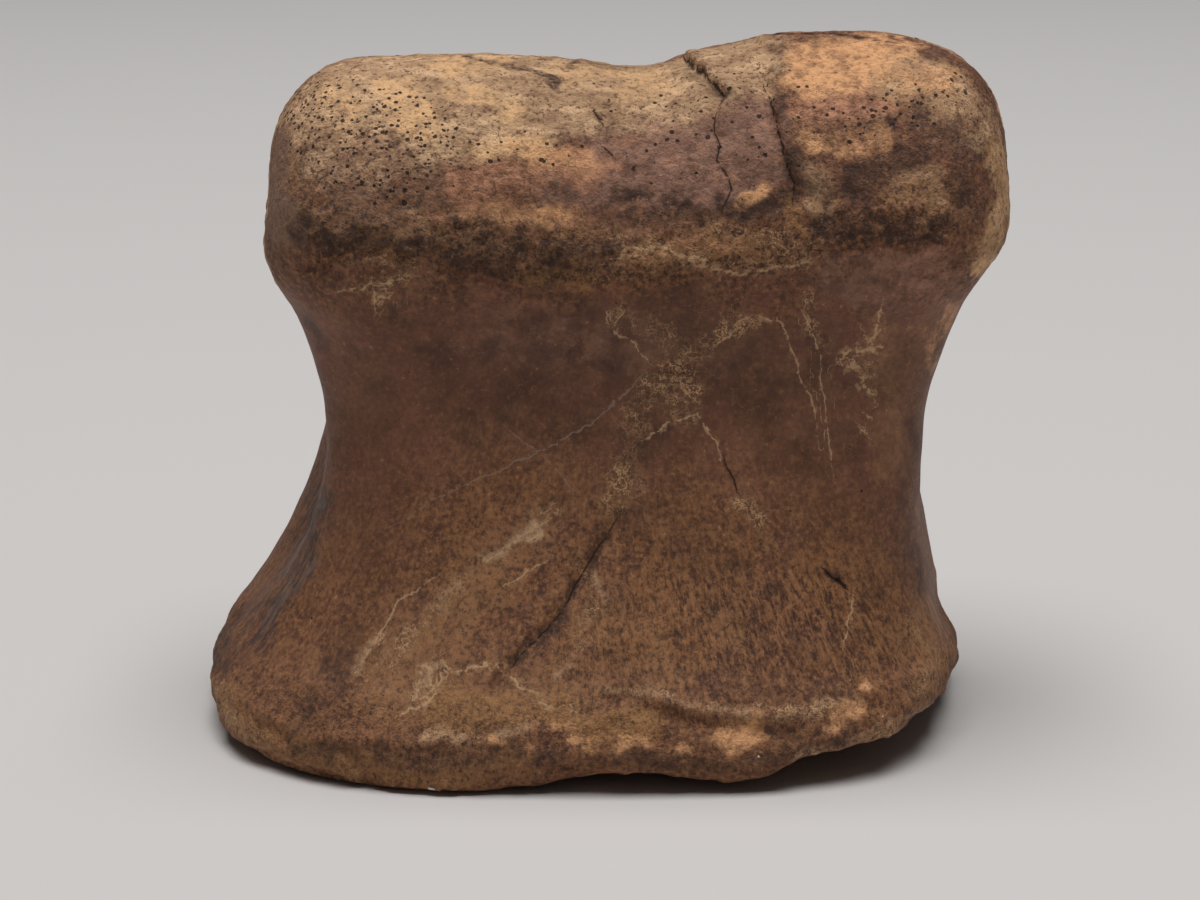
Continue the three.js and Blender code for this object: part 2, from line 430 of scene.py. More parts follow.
LIP_STAINS = {
    "crust": [
        (0.5, 14, [(600, 275), (650, 262), (700, 262), (760, 262), (820, 252)]),
        (0.6, 12, [(620, 240), (660, 246), (700, 252)]),
        (0.6, 11, [(342, 260), (365, 258), (390, 260), (420, 264)]),
        (0.68, 9, [(336, 291), (361, 289), (380, 285), (405, 281)]),
        (0.7, 8, [(376, 288), (376, 300), (375, 310)]),
        (0.55, 16, [(714, 225), (750, 232), (783, 240)]),
    ],
}
LIP_LINES = {
    "vein": [
        (1.4, [(608, 262), (630, 248), (660, 247), (690, 258), (703, 267), (730, 274), (756, 276)]),
        (1.2, [(755, 276), (770, 269), (782, 267), (800, 266), (818, 257)]),
        (0.9, [(336, 292), (350, 290), (361, 289), (372, 284), (394, 283), (405, 280)]),
        (0.9, [(372, 286), (376, 299), (375, 311)]),
        (0.8, [(376, 296), (384, 298), (390, 295)]),
    ],
}
LIP_GROOVES = [
    (0.45, 8, [(300, 270), (332, 261), (379, 253), (415, 262), (460, 273), (530, 293), (600, 298)]),
    (0.45, 8, [(800, 262), (824, 250), (880, 247), (936, 248), (956, 264)]),
]

paint_stains_and_shade(LIP_STAINS)
draw_lines(LIP_LINES)
for depth, radius, route in LIP_GROOVES:
    carve(depth, radius, route)

# Shaft
# The smooth, close-grained waist of the bone. Fine mineral-filled cracks cross it, one old break is lined
# with a grey-tan crust, and pale root marks fork on its right.
SHAFT_STAINS_AND_SHADE = {
    "dark": [
        # The first two bands darken the upper shaft under the roller: partly the bone's own darker tone,
        # partly painted shade under the roller's overhang.
        (0.42, 66, [(420, 330), (480, 335), (550, 340), (640, 350), (760, 370), (800, 350)]),
        (0.42, 60, [(480, 410), (560, 420)]),
        (0.55, 9, [(305, 312), (314, 328), (324, 345)]),
        (0.3, 34, [(805, 350), (825, 430)]),
        (0.4, 14, [(912, 440), (905, 480), (900, 530)]),
        (0.5, 20, [(905, 550), (922, 585)]),
        (0.38, 40, [(640, 440), (655, 400), (680, 385)]),
        (0.8, 6, [(668, 370), (684, 374)]),
        (0.5, 14, [(625, 470), (645, 440), (660, 432)]),
    ],
    "purple": [
        (0.35, 50, [(480, 330), (560, 335), (640, 340)]),
        (0.5, 40, [(840, 275), (890, 280), (930, 272)]),
    ],
    "sheet": [
        (0.55, 26, [(880, 330), (885, 400), (892, 470)]),
    ],
    "orange": [
        (0.36, 12, [(952, 312), (940, 335), (930, 362)]),
        (0.3, 9, [(912, 335), (925, 330)]),
    ],
    "tan": [
        (0.25, 7, [(922, 470), (918, 500), (926, 530)]),
    ],
    "crust": [
        (0.9, 24, [(655, 385), (675, 378), (690, 395), (680, 410)]),
        (0.8, 18, [(640, 395), (632, 430), (622, 470), (618, 505)]),
        (0.62, 14, [(640, 450), (636, 490)]),
        (0.62, 20, [(620, 320), (660, 335), (690, 350)]),
        (0.62, 14, [(700, 345), (725, 330), (755, 316)]),
        (0.55, 12, [(808, 290), (812, 330), (830, 345)]),
        (0.7, 10, [(795, 520), (803, 536)]),
        (0.6, 10, [(850, 360), (868, 350), (868, 372), (876, 395)]),
        (0.62, 12, [(740, 498), (760, 520), (772, 548)]),
    ],
}
SHAFT_LINES = {
    "hairline": [
        (1.0, [
            (388, 528), (408, 518), (433, 500), (475, 482), (511, 464), (542, 452), (567, 436),
            (591, 424), (624, 394), (650, 365),
        ]),
        (0.7, [(508, 428), (524, 442), (541, 454), (559, 472), (574, 494)]),
    ],
    "crack": [
        (0.5, [(722, 455), (731, 475), (738, 492)]),
    ],
    "vein": [
        (0.7, [(640, 442), (664, 426), (697, 413), (709, 430), (719, 450), (722, 465)]),
        (0.7, [(776, 314), (787, 333), (792, 351), (799, 376), (804, 384)]),
        (0.5, [(804, 384), (812, 400), (818, 425), (820, 449)]),
        (0.45, [(800, 305), (812, 330), (819, 351), (821, 378), (830, 440), (834, 474)]),
        (0.8, [(736, 322), (755, 314), (776, 319)]),
        (1.1, [(717, 344), (725, 338), (733, 333)]),
        (0.6, [(605, 312), (605, 320), (613, 333), (629, 340), (648, 362)]),
        (0.8, [(624, 314), (614, 324)]),
        (1.3, [(882, 305), (879, 325), (873, 346), (884, 349)]),
        (1.8, [(837, 362), (850, 353), (864, 351), (876, 350)]),
        (1.6, [(840, 361), (857, 369), (867, 379), (863, 387), (874, 393), (876, 402)]),
        (1.4, [(850, 366), (862, 354)]),
        (0.9, [(865, 415), (870, 420)]),
        (0.9, [(861, 428), (867, 435)]),
    ],
}
SHAFT_GROOVES = [
    (0.25, 5, [(645, 446), (666, 431), (698, 418), (712, 436), (731, 477), (752, 516)]),
    (0.6, 12, [(660, 372), (684, 374)]),
]

paint_stains_and_shade(SHAFT_STAINS_AND_SHADE)
draw_lines(SHAFT_LINES)
for depth, radius, route in SHAFT_GROOVES:
    carve(depth, radius, route)

# Flare
# The shaft spreads into the base with a coarse, fibrous grain. A thin sheet of lighter mineral lies on its
# left, a long dark crack runs down from the crust with painted shade along its groove, and the grain is
# dark and pitted towards the right.
FLARE_STAINS_AND_SHADE = {
    "warm": [
        (0.9, 150, [(500, 580), (560, 600), (700, 600), (820, 640)]),
    ],
    "sheet": [
        (0.75, 42, [(500, 560), (450, 615), (400, 665), (390, 700)]),
        (0.6, 30, [(545, 525), (510, 560), (480, 600)]),
        (0.55, 40, [(470, 660), (520, 690), (600, 690)]),
        (0.45, 50, [(600, 610), (640, 650), (620, 700)]),
        (0.6, 14, [(660, 655), (680, 680)]),
        (0.5, 12, [(745, 680), (765, 695)]),
        (0.5, 16, [(720, 620), (735, 640)]),
    ],
    "tan": [
        (0.75, 9, [(484, 560), (505, 548), (535, 530)]),
        (0.5, 7, [(352, 668), (362, 655), (374, 642)]),
        (0.45, 8, [(420, 692), (432, 676), (446, 668)]),
        (0.65, 6, [(594, 568), (600, 590)]),
        (0.5, 7, [(560, 682), (572, 674)]),
        (0.45, 9, [(440, 612), (462, 588)]),
    ],
    "ochre": [
        (0.75, 26, [(440, 705), (500, 706), (560, 706)]),
        (0.8, 24, [(560, 715), (600, 730), (640, 728)]),
        (0.4, 22, [(470, 590), (440, 620), (415, 650)]),
    ],
    "dark": [
        (0.34, 40, [(720, 600), (770, 630), (800, 660)]),
        (0.34, 34, [(720, 680), (770, 690), (850, 640), (890, 650)]),
        (0.7, 10, [(768, 588), (780, 594)]),
        (0.6, 12, [(812, 690), (830, 690)]),
        (0.55, 12, [(722, 686), (738, 694)]),
        (0.5, 12, [(860, 600), (880, 590)]),
        (0.4, 16, [(560, 507), (575, 500)]),
        (0.42, 34, [(640, 520), (690, 545), (730, 560)]),
        (0.5, 26, [(345, 640), (330, 690), (300, 720)]),
        # Painted shade: a wide dark band along the groove of the long crack.
        (0.82, 9, [(612, 530), (590, 560), (570, 600), (545, 630), (515, 660)]),
    ],
    "pits": [
        (0.9, 60, [(700, 610), (760, 640), (820, 610), (850, 650)]),
        (0.6, 60, [(620, 620), (600, 680), (700, 690)]),
        (0.5, 40, [(360, 720), (460, 740), (560, 740)]),
        (0.6, 44, [(880, 640), (930, 640), (900, 690)]),
    ],
    "crust": [
        (0.58, 9, [(486, 560), (519, 533), (560, 508)]),
        (0.55, 12, [(464, 577), (440, 600), (420, 625), (385, 660)]),
        (0.6, 10, [(356, 670), (372, 650), (388, 622)]),
        (0.6, 12, [(415, 700), (428, 680), (440, 670)]),
        (0.55, 16, [(440, 732), (480, 738), (520, 735)]),
        (0.5, 12, [(575, 560), (600, 590), (565, 680)]),
    ],
}
FLARE_LINES = {
    "crack": [
        (0.45, [
            (619, 517), (604, 540), (586, 565), (572, 592), (566, 604), (546, 628), (520, 655),
            (508, 670),
        ]),
        (1.5, [(826, 570), (835, 578), (848, 589)]),
    ],
    "vein": [
        (0.9, [(852, 596), (851, 612), (848, 628), (844, 646)]),
        (1.3, [(415, 700), (419, 686), (422, 672), (428, 666), (433, 673), (430, 690), (420, 700)]),
        (1.3, [(442, 668), (440, 682), (436, 692), (424, 704), (398, 717)]),
        (1.3, [(446, 664), (454, 673), (474, 667), (497, 664), (503, 672)]),
        (1.2, [(513, 676), (520, 688), (535, 694), (546, 708), (568, 705), (578, 712)]),
        (0.6, [(355, 672), (368, 650), (387, 623), (400, 601), (434, 578)]),
        (0.6, [(486, 562), (520, 537), (555, 517)]),
        (0.6, [(500, 590), (530, 570), (548, 560)]),
    ],
}
FLARE_GROOVES = [
    (0.75, 13, [
        (619, 519), (609, 536), (586, 566), (574, 591), (546, 629), (520, 656), (506, 673), (494, 691),
    ]),
    (0.7, 5, [(827, 571), (836, 579), (847, 588)]),
    (-0.25, 26, [(500, 575), (450, 625), (400, 675)]),
]

paint_stains_and_shade(FLARE_STAINS_AND_SHADE)
draw_lines(FLARE_LINES)
for depth, radius, route in FLARE_GROOVES:
    carve(depth, radius, route)

# Left flank
# The hollow side behind the front edge of the shaft, the same bone as the rest. Water ran down its grain
# and left blue-grey and black mineral streaks in it. The strokes below also paint shade into the hollow.
FLANK_TURN = (0.55, 0.85)
FLANK_FOOT = (10, 18)
FLANK_TOP = (30, 46)
FLANK_STREAKS_AND_SHADE = {
    # Blue-black and dark strokes in the hollow behind the front edge: partly mineral streaks, partly
    # painted shade.
    "blue": [
        (0.95, 15, [(318, 500), (311, 530), (302, 560), (290, 590)]),
        (0.8, 14, [(282, 605), (270, 632), (262, 645)]),
        (0.7, 12, [(222, 625), (216, 655)]),
    ],
    "dark": [
        (0.4, 10, [(322, 500), (312, 535), (300, 570)]),
        (0.6, 14, [(225, 640), (215, 665)]),
        (0.5, 20, [(270, 600), (240, 620)]),
    ],
}

paint_stains_and_shade(FLANK_STREAKS_AND_SHADE)
faces_left = soft_step(*FLANK_TURN, -normals[:, 0])
on_flank = faces_left * soft_step(*FLANK_FOOT, height_mm) * (1 - soft_step(*FLANK_TOP, height_mm))
flank_streaks = 0.6 * on_flank * soft_step(-0.2, 0.5, lumps(8, 16))
layers["blue"] = np.maximum(layers["blue"], flank_streaks)

# Rim
# The worn edge of the dished joint face that the bone stands on: a chipped band of spongy bone, stained
# orange and ochre along its upper edge, and darker below: partly its own colour, partly painted shade on
# its downward face.
RIM_TOP = [(225, 690), (300, 735), (400, 742), (500, 742), (600, 722)]
RIM_TOP += [(650, 700), (700, 714), (785, 718), (862, 698), (930, 672)]
RIM_STAINS_AND_SHADE = {
    "ochre": [
        (0.42, 26, [(222, 700), (260, 735), (320, 760), (420, 772), (520, 768)]),
        (0.6, 12, [(218, 690), (228, 706)]),
    ],
    "orange": [
        (0.72, 18, [(728, 738), (756, 730)]),
        (0.85, 15, [(834, 718), (854, 708)]),
        (0.75, 8, [(868, 684)]),
        (0.7, 10, [(618, 748), (645, 744)]),
        (0.65, 10, [(680, 752), (692, 750)]),
        (0.35, 14, [(560, 728), (590, 742)]),
        (0.6, 10, [(490, 738), (510, 745), (530, 748)]),
        (0.5, 10, [(552, 730), (575, 742)]),
    ],
    "tan": [
        (0.6, 10, [(425, 735), (445, 728), (462, 735)]),
        (0.5, 9, [(500, 730), (525, 728)]),
        (0.42, 12, [(800, 758), (850, 744), (900, 726), (935, 704)]),
        (0.5, 6, [(612, 690), (645, 691), (690, 709), (745, 717)]),
        (0.5, 6, [(770, 720), (800, 715), (830, 704)]),
        (0.4, 12, [(220, 698), (236, 722), (262, 745)]),
    ],
    "crust": [
        (0.8, 11, [(612, 690), (645, 690), (690, 708), (745, 716), (800, 714), (850, 696)]),
        (0.6, 14, [(216, 680), (230, 715), (262, 742)]),
        (0.6, 14, [(800, 760), (850, 745), (900, 728), (930, 705)]),
        (0.5, 12, [(290, 765), (330, 775), (360, 778)]),
        (0.65, 13, [(905, 620), (936, 655), (915, 690)]),
    ],
    "speckle": [
        (0.5, 22, [(225, 690), (245, 730), (300, 758)]),
        (0.6, 28, [(912, 640), (930, 670)]),
    ],
    # Darker along the rim's lower, downward face: partly stain, partly painted shade.
    "dark": [
        (0.6, 10, [(620, 762), (700, 764), (780, 758), (850, 738)]),
        (0.55, 10, [(770, 728), (800, 735), (818, 724)]),
        (0.55, 16, [(300, 752), (430, 756), (500, 758), (560, 756)]),
        (0.6, 8, [(922, 690), (930, 698)]),
    ],
    "sheet": [
        (0.85, 24, [(930, 610), (938, 650), (925, 685)]),
    ],
    "pale": [
        (0.9, 3, [(431, 788), (439, 787)]),
        (0.7, 2.4, [(762, 755)]),
        (0.6, 2.4, [(887, 714)]),
        (0.6, 2.4, [(589, 491)]),
    ],
}
RIM_GROOVES = [
    (-0.5, 12, RIM_TOP),
    (0.5, 14, [(612, 700), (670, 716), (740, 730), (800, 730)]),
    (1.0, 26, [(262, 765), (300, 780), (345, 792)]),
    (-0.6, 14, [(380, 790), (450, 790)]),
    (0.7, 12, [(560, 772), (600, 768)]),
]
RIM_BREAKS = [
    (1.2, 24, [(374, 800), (352, 768), (338, 752)]),
]
WORN_ROUND_CORNER = (-0.8, -0.5)
RIM_BAND = (10, 16)
RIM_WEAR = [
    (2.4, 42, [(968, 690), (958, 712), (930, 735)]),
    (1.0, 26, [(945, 592), (950, 606)]),
]


def wear(depth_mm, radius, route):
    """Wears down an edge of the outline along a route, on the seen side and just round the corner."""
    away = np.abs(distances(places, route)[0])
    lift[:] -= depth_mm * MM * (1 - soft_step(0, radius, away)) * soft_step(*WORN_ROUND_CORNER, facing)


paint_stains_and_shade(RIM_STAINS_AND_SHADE)
for depth, radius, route in RIM_GROOVES:
    carve(depth, radius, route)
for rise, reach, route in RIM_BREAKS:
    break_edge(rise, reach, route)
for depth, radius, route in RIM_WEAR:
    wear(depth, radius, route)
near_rim = 1 - soft_step(*RIM_BAND, height_mm + 1.5 * stir[:, 1])

# Unseen sides
# The back, the ends and the underside of the same bone. They carry the same stains and pores in random
# patches, and then the whole skin is made cloudy and uneven, as the ground and handling left it.
LIP_BEHIND_FOOT = (62, 68)
LIP_BEHIND_TOP = (74, 82)
PITS_TOP = (12, 32)
STREAKS_TOP = (30, 45)
WARM_TOP = (20, 48)
FEET = 1.2

unseen = 1 - seen
lip_behind = soft_step(*LIP_BEHIND_FOOT, height_mm) * (1 - soft_step(*LIP_BEHIND_TOP, height_mm))
ragged_edges = 0.45 * lumps(3.5, 14) + 0.30 * lumps(1.7, 15)
broad_patches = lumps(20, 11) + ragged_edges
mid_patches = lumps(11, 12) + ragged_edges
small_patches = lumps(7, 13) + ragged_edges
random_stains = {
    "tan": on_roller * soft_step(-0.5, 0.2, broad_patches),
    "gold": 0.6 * on_roller * soft_step(0.2, 0.7, small_patches),
    "dusk_stain_and_shade": 0.6 * on_roller * soft_step(0.1, 0.6, -small_patches),
    "orange": (0.7 * on_roller + 0.55 * near_rim) * soft_step(0.25, 0.7, mid_patches),
    "red": 0.6 * on_roller * soft_step(0.1, 0.6, -mid_patches),
    "purple": (0.7 * on_roller + 0.25) * soft_step(0.1, 0.6, -broad_patches),
    "dark": (0.75 * lip_behind + 0.4) * soft_step(0.0, 0.6, small_patches - 0.5 * mid_patches),
    "ochre": (0.5 * near_rim + 0.25) * soft_step(0.1, 0.6, -small_patches),
    "crust": (0.35 + 0.3 * near_rim) * soft_step(0.1, 0.6, mid_patches - small_patches),
    "pores": 0.8 * on_roller * soft_step(-0.3, 0.4, small_patches),
    "speckle": 0.5 * lip_behind,
    "pits": 0.5 * (1 - soft_step(*PITS_TOP, height_mm)),
    "sheet": 0.5 * (1 - on_roller) * soft_step(0.2, 0.7, broad_patches),
    "blue": 0.5 * (1 - soft_step(*STREAKS_TOP, height_mm)) * soft_step(0.3, 0.7, -mid_patches),
}
for layer, stain in random_stains.items():
    layers[layer] = layers[layer] + unseen * np.clip(stain, 0, 1) * (1 - layers[layer])

layers["warm"] = np.maximum(layers["warm"], 0.55 * (1 - soft_step(*WARM_TOP, height_mm)))

# Stains and painted shade are cloudy: each layer is thicker and thinner in patches of its own.
CLOUDY_LAYERS = (
    "tan", "gold", "orange", "red", "purple", "dusk_stain_and_shade",
    "dark", "ochre", "crust", "sheet", "blue", "pits",
)
FIRST_SEED = 30
SECOND_SEEDS = 20
for seed, layer in enumerate(CLOUDY_LAYERS, FIRST_SEED):
    layers[layer] *= 1 + 0.40 * lumps(3.5, seed) + 0.35 * lumps(1.6, seed + SECOND_SEEDS)

# Worn skin: gently uneven all over, coarser on the joint ends, crumbly on crust and lumpy along the rim.
worn_ends = np.maximum(0.55 * on_roller, 0.6 * near_rim)
layers["rough"] = np.clip(worn_ends + on_lip * above_lip * seen, 0, 1)
layers["rough"] *= 1 - 0.3 * layers["purple"]
layers["tone"] = 0.5 + 0.35 * lumps(13, 25) + 0.25 * lumps(5, 26)
lift += bumps(0.30, 12, 21) + bumps(0.16, 4.5, 22)
lift += layers["rough"] * (bumps(0.32, 1.8, 23) + bumps(0.224, 1.1, 24))
lift += layers["crust"] * (bumps(0.28, 1.9, 17) + bumps(0.224, 1.1, 18))
lift += near_rim * (bumps(0.40, 6, 27) + bumps(0.30, 2.8, 28))
on_feet = height_mm < FEET
lift[on_feet] = np.minimum(lift[on_feet], 0)

points += normals * lift[:, None]
points[:, 2] = np.maximum(points[:, 2], 0)
bone.data.vertices.foreach_set("co", points.ravel())
bone.data.update()
bpy.ops.object.shade_smooth()
for layer, values in layers.items():
    attribute = bone.data.attributes.new(layer, "FLOAT", "POINT")
    attribute.data.foreach_set("value", values.astype(np.float32))

# Fossil finish
# Bone turned to brown stone: satin on the shaft, dull and open-grained on the roller and the rim. The
# stains and painted shade above are broken up by noise at the size of the bone's own grain.
DEEP_BROWN = (0.135, 0.060, 0.036, 1)
BROWN = (0.245, 0.113, 0.066, 1)
WARM_BROWN = (0.300, 0.132, 0.058, 1)
REDDISH_BROWN = (0.235, 0.098, 0.062, 1)
LIGHT_FIBRE = (0.420, 0.200, 0.090, 1)
SHEET_TAN = (0.410, 0.208, 0.102, 1)
TAN = (0.590, 0.362, 0.202, 1)
PALE_TAN = (0.890, 0.565, 0.325, 1)
GOLD = (0.960, 0.570, 0.285, 1)
ORANGE = (0.960, 0.495, 0.235, 1)
RED_BROWN = (0.660, 0.312, 0.180, 1)
PURPLE_BROWN = (0.410, 0.222, 0.155, 1)
SHADE_AND_STAIN_BROWN = (0.300, 0.185, 0.128, 1)
DARK_STAIN_AND_SHADE = (0.066, 0.036, 0.026, 1)
BLUE_BLACK = (0.052, 0.047, 0.050, 1)
BLUE_GREY = (0.215, 0.190, 0.180, 1)
OCHRE = (0.420, 0.215, 0.085, 1)
LIP_TAN = (0.480, 0.250, 0.115, 1)
CRUST_BROWN = (0.150, 0.086, 0.050, 1)
CRUST_TAN = (0.680, 0.395, 0.200, 1)
PALE_VEIN = (0.680, 0.430, 0.235, 1)
HAIRLINE_GREY = (0.330, 0.235, 0.180, 1)
PORE_BLACK = (0.022, 0.013, 0.010, 1)
CHALK_WHITE = (0.800, 0.760, 0.700, 1)
GRAIN_APEX = (0.0, 0.0, 0.100)
ELSEWHERE = (0.31, 0.17, 0.23)
ALONG_ROLLER = (0.5, 1.0, 1.0)

fossil = bpy.data.materials.new("fossil_bone")
fossil.use_nodes = True
tree = fossil.node_tree
shader = tree.nodes["Principled BSDF"]


def put(kind, inputs, **settings):
    """Adds a node, with its settings and with values or links on its inputs."""
    node = tree.nodes.new(kind)
    for name, value in settings.items():
        setattr(node, name, value)
    for socket, value in inputs.items():
        if isinstance(value, bpy.types.NodeSocket):
            tree.links.new(value, node.inputs[socket])
        else:
            node.inputs[socket].default_value = value
    return node


def layer_value(layer):
    """A layer painted on the skin, as an input for other nodes."""
    return put("ShaderNodeAttribute", {}, attribute_name=layer).outputs["Fac"]


def maths(operation, first, second=0.0, third=0.0):
    """A sum on plain values."""
    return put("ShaderNodeMath", {0: first, 1: second, 2: third}, operation=operation).outputs[0]


def vectors(operation, first, second=(0.0, 0.0, 0.0)):
    """A sum on places or directions."""
    return put("ShaderNodeVectorMath", {0: first, 1: second}, operation=operation).outputs["Vector"]


def ramp(value, low, high, start=0.0, end=1.0):
    """An S-curve from start to end while value goes from low to high."""
    sockets = {"Value": value, "From Min": low, "From Max": high, "To Min": start, "To Max": end}
    return put("ShaderNodeMapRange", sockets, interpolation_type="SMOOTHSTEP").outputs["Result"]


def over(under, colour, cover):
    """A colour laid over another where cover is 1."""
    mixed = put("ShaderNodeMix", {"Factor": cover, "A": under, "B": colour}, data_type="RGBA")
    return mixed.outputs["Result"]


def grain(place, size_mm, detail, roughness=0.6):
    """Noise with lumps of this size, and finer ones on them."""
    sockets = {"Vector": place, "Scale": 1 / (size_mm * MM), "Detail": detail, "Roughness": roughness}
    return put("ShaderNodeTexNoise", sockets).outputs["Fac"]


on_bone = put("ShaderNodeTexCoord", {}).outputs["Object"]
elsewhere = vectors("ADD", on_bone, ELSEWHERE)
fine_grain = grain(on_bone, 0.42, 1.0)
grit = grain(elsewhere, 0.75, 3.0, 0.7)
small_grain = grain(on_bone, 1.1, 3.0, 0.65)
mottle = maths("MULTIPLY_ADD", fine_grain, 0.40, maths("MULTIPLY", small_grain, 0.60))
blotch = grain(on_bone, 2.4, 4.0, 0.68)
cloud = grain(on_bone, 9, 4.0, 0.66)
hue_cloud = grain(elsewhere, 13, 4.0, 0.62)

# Streaks along the roller, where it wore against the next bone.
streaks = grain(vectors("MULTIPLY", on_bone, ALONG_ROLLER), 3.4, 4.0, 0.68)

# Fibres run down the shaft and fan out into the base: fine ones, and broad streaks among them.
from_apex = vectors("SUBTRACT", on_bone, GRAIN_APEX)
along_fibre = put("ShaderNodeVectorMath", {0: from_apex}, operation="LENGTH").outputs["Value"]
across_fibre = vectors("NORMALIZE", from_apex)


def fibres(per_turn, per_metre, detail, roughness):
    """Noise drawn out along the fibres: its lumps round the apex, and along each fibre."""
    sockets = {
        "Vector": across_fibre,
        "W": maths("MULTIPLY", along_fibre, per_metre / per_turn),
        "Scale": per_turn,
        "Detail": detail,
        "Roughness": roughness,
    }
    return put("ShaderNodeTexNoise", sockets, noise_dimensions="4D").outputs["Fac"]


fibre = fibres(150.0, 480.0, 3.0, 0.75)
broad_fibre = fibres(42.0, 55.0, 4.0, 0.66)

# Pores are small pits of many sizes, closer together where the skin is most worn.
PORE_SPACING = 0.8 * MM
pore_cells = put("ShaderNodeTexVoronoi", {"Vector": on_bone, "Scale": 1 / PORE_SPACING, "Randomness": 1.0})
pore_dice = pore_cells.outputs["Color"]
pore_chance = maths("ADD", layer_value("pores"), pore_dice)
pore_room = maths("MULTIPLY", maths("MULTIPLY_ADD", pore_dice, 0.46, 0.05), ramp(pore_chance, 0.80, 1.15))
pore_edge = maths("MULTIPLY_ADD", fine_grain, 0.34, pore_cells.outputs["Distance"])
pore = ramp(maths("SUBTRACT", pore_edge, pore_room), 0.17, 0.10)
rough = layer_value("rough")


def patchy_paint(layer, texture, low, high, least=0.25, most=1.0):
    """A painted patch of stain or of shade that is thick where the grain is high, and thin down to a share
    where it is low.
    """
    ragged = maths("MULTIPLY_ADD", maths("SUBTRACT", mottle, 0.5), 0.9, layer_value(layer))
    return maths("MULTIPLY", ramp(ragged, 0.1, 0.85), ramp(texture, low, high, least, most))


# Drawn lines wander and come and go: cracks follow the grain, and their filling has partly fallen out.
wander = maths("SUBTRACT", grain(on_bone, 1.6, 2.0, 0.7), 0.5)
gaps = grain(elsewhere, 1.2, 2.0, 0.7)


def line_cover(layer, inner, outer, wobble, most_gaps):
    """1 on the lines of a drawn layer, and 0 beside them and in their gaps."""
    away = maths("ABSOLUTE", maths("MULTIPLY_ADD", wander, wobble, layer_value(layer)))
    kept = ramp(gaps, most_gaps - 0.06, most_gaps + 0.06)
    return maths("MULTIPLY", ramp(away, outer, inner), kept)


vein = line_cover("vein", 0.4, 1.6, 12.0, 0.43)
vein_crumbs = line_cover("vein", 0.5, 5.0, 26.0, 0.53)
hairline = line_cover("hairline", 0.4, 1.3, 10.0, 0.42)
crack = line_cover("crack", 0.4, 1.7, 6.0, 0.43)
crack_side = line_cover("crack", 0.5, 5.0, 10.0, 0.40)

# Threads of crust: thin ridges of noise at two sizes, where the crust layer is painted.
coarse_ridge = maths("ABSOLUTE", maths("SUBTRACT", blotch, 0.5))
fine_ridge = maths("ABSOLUTE", maths("SUBTRACT", small_grain, 0.5))
threads = maths("MAXIMUM", ramp(coarse_ridge, 0.030, 0.006), ramp(fine_ridge, 0.022, 0.005, 0.0, 0.7))
crust = patchy_paint("crust", cloud, 0.40, 0.58)

# Body: brown, with cloudy darker and redder patches, and lighter fibres towards the base.
warm = layer_value("warm")
colour = over(DEEP_BROWN, BROWN, ramp(cloud, 0.34, 0.62))
colour = over(colour, REDDISH_BROWN, ramp(hue_cloud, 0.46, 0.62, 0.0, 0.7))
colour = over(colour, DEEP_BROWN, ramp(layer_value("tone"), 0.60, 0.0, 0.0, 0.40))
colour = over(colour, DEEP_BROWN, ramp(fibre, 0.50, 0.34, 0.0, 0.40))
colour = over(colour, WARM_BROWN, maths("MULTIPLY", warm, ramp(hue_cloud, 0.62, 0.42, 0.35, 1.0)))
colour = over(colour, LIGHT_FIBRE, maths("MULTIPLY", warm, ramp(fibre, 0.50, 0.68, 0.0, 0.75)))
colour = over(colour, DEEP_BROWN, maths("MULTIPLY", warm, ramp(fibre, 0.49, 0.33, 0.0, 0.75)))
colour = over(colour, SHEET_TAN, patchy_paint("sheet", broad_fibre, 0.36, 0.60, 0.25, 0.85))
coarse = maths("MULTIPLY_ADD", maths("MAXIMUM", warm, rough), 0.65, 0.25)
colour = over(colour, DEEP_BROWN, maths("MULTIPLY", coarse, ramp(blotch, 0.50, 0.38, 0.0, 0.75)))
colour = over(colour, LIGHT_FIBRE, maths("MULTIPLY", coarse, ramp(blotch, 0.52, 0.64, 0.0, 0.55)))
colour = over(colour, DARK_STAIN_AND_SHADE, maths("MULTIPLY", coarse, ramp(grit, 0.49, 0.36, 0.0, 0.80)))
colour = over(colour, LIGHT_FIBRE, maths("MULTIPLY", coarse, ramp(grit, 0.51, 0.63, 0.0, 0.85)))

# Stains, and the painted shade that the dusk, dark and blue layers also carry
purple_tone = over(PURPLE_BROWN, DEEP_BROWN, ramp(blotch, 0.54, 0.38, 0.0, 0.60))
purple_tone = over(purple_tone, RED_BROWN, ramp(streaks, 0.52, 0.66, 0.0, 0.45))
colour = over(colour, purple_tone, patchy_paint("purple", streaks, 0.34, 0.60, 0.5, 0.95))
colour = over(colour, RED_BROWN, patchy_paint("red", small_grain, 0.38, 0.58, 0.45, 0.95))
tan_tone = over(TAN, PALE_TAN, ramp(streaks, 0.49, 0.64))
tan_tone = over(tan_tone, BROWN, ramp(streaks, 0.48, 0.34, 0.0, 0.50))
tan_tone = over(tan_tone, BROWN, ramp(grit, 0.48, 0.34, 0.0, 0.80))
colour = over(colour, tan_tone, patchy_paint("tan", small_grain, 0.32, 0.52, 0.6))
colour = over(colour, OCHRE, patchy_paint("ochre", mottle, 0.42, 0.58, 0.25))
colour = over(colour, GOLD, patchy_paint("gold", blotch, 0.38, 0.58, 0.35, 0.98))
colour = over(colour, ORANGE, patchy_paint("orange", blotch, 0.36, 0.58, 0.45, 0.98))
net = maths("MAXIMUM", ramp(coarse_ridge, 0.060, 0.015), ramp(grit, 0.54, 0.66, 0.0, 0.7))
colour = over(colour, LIP_TAN, maths("MULTIPLY", layer_value("speckle"), net))
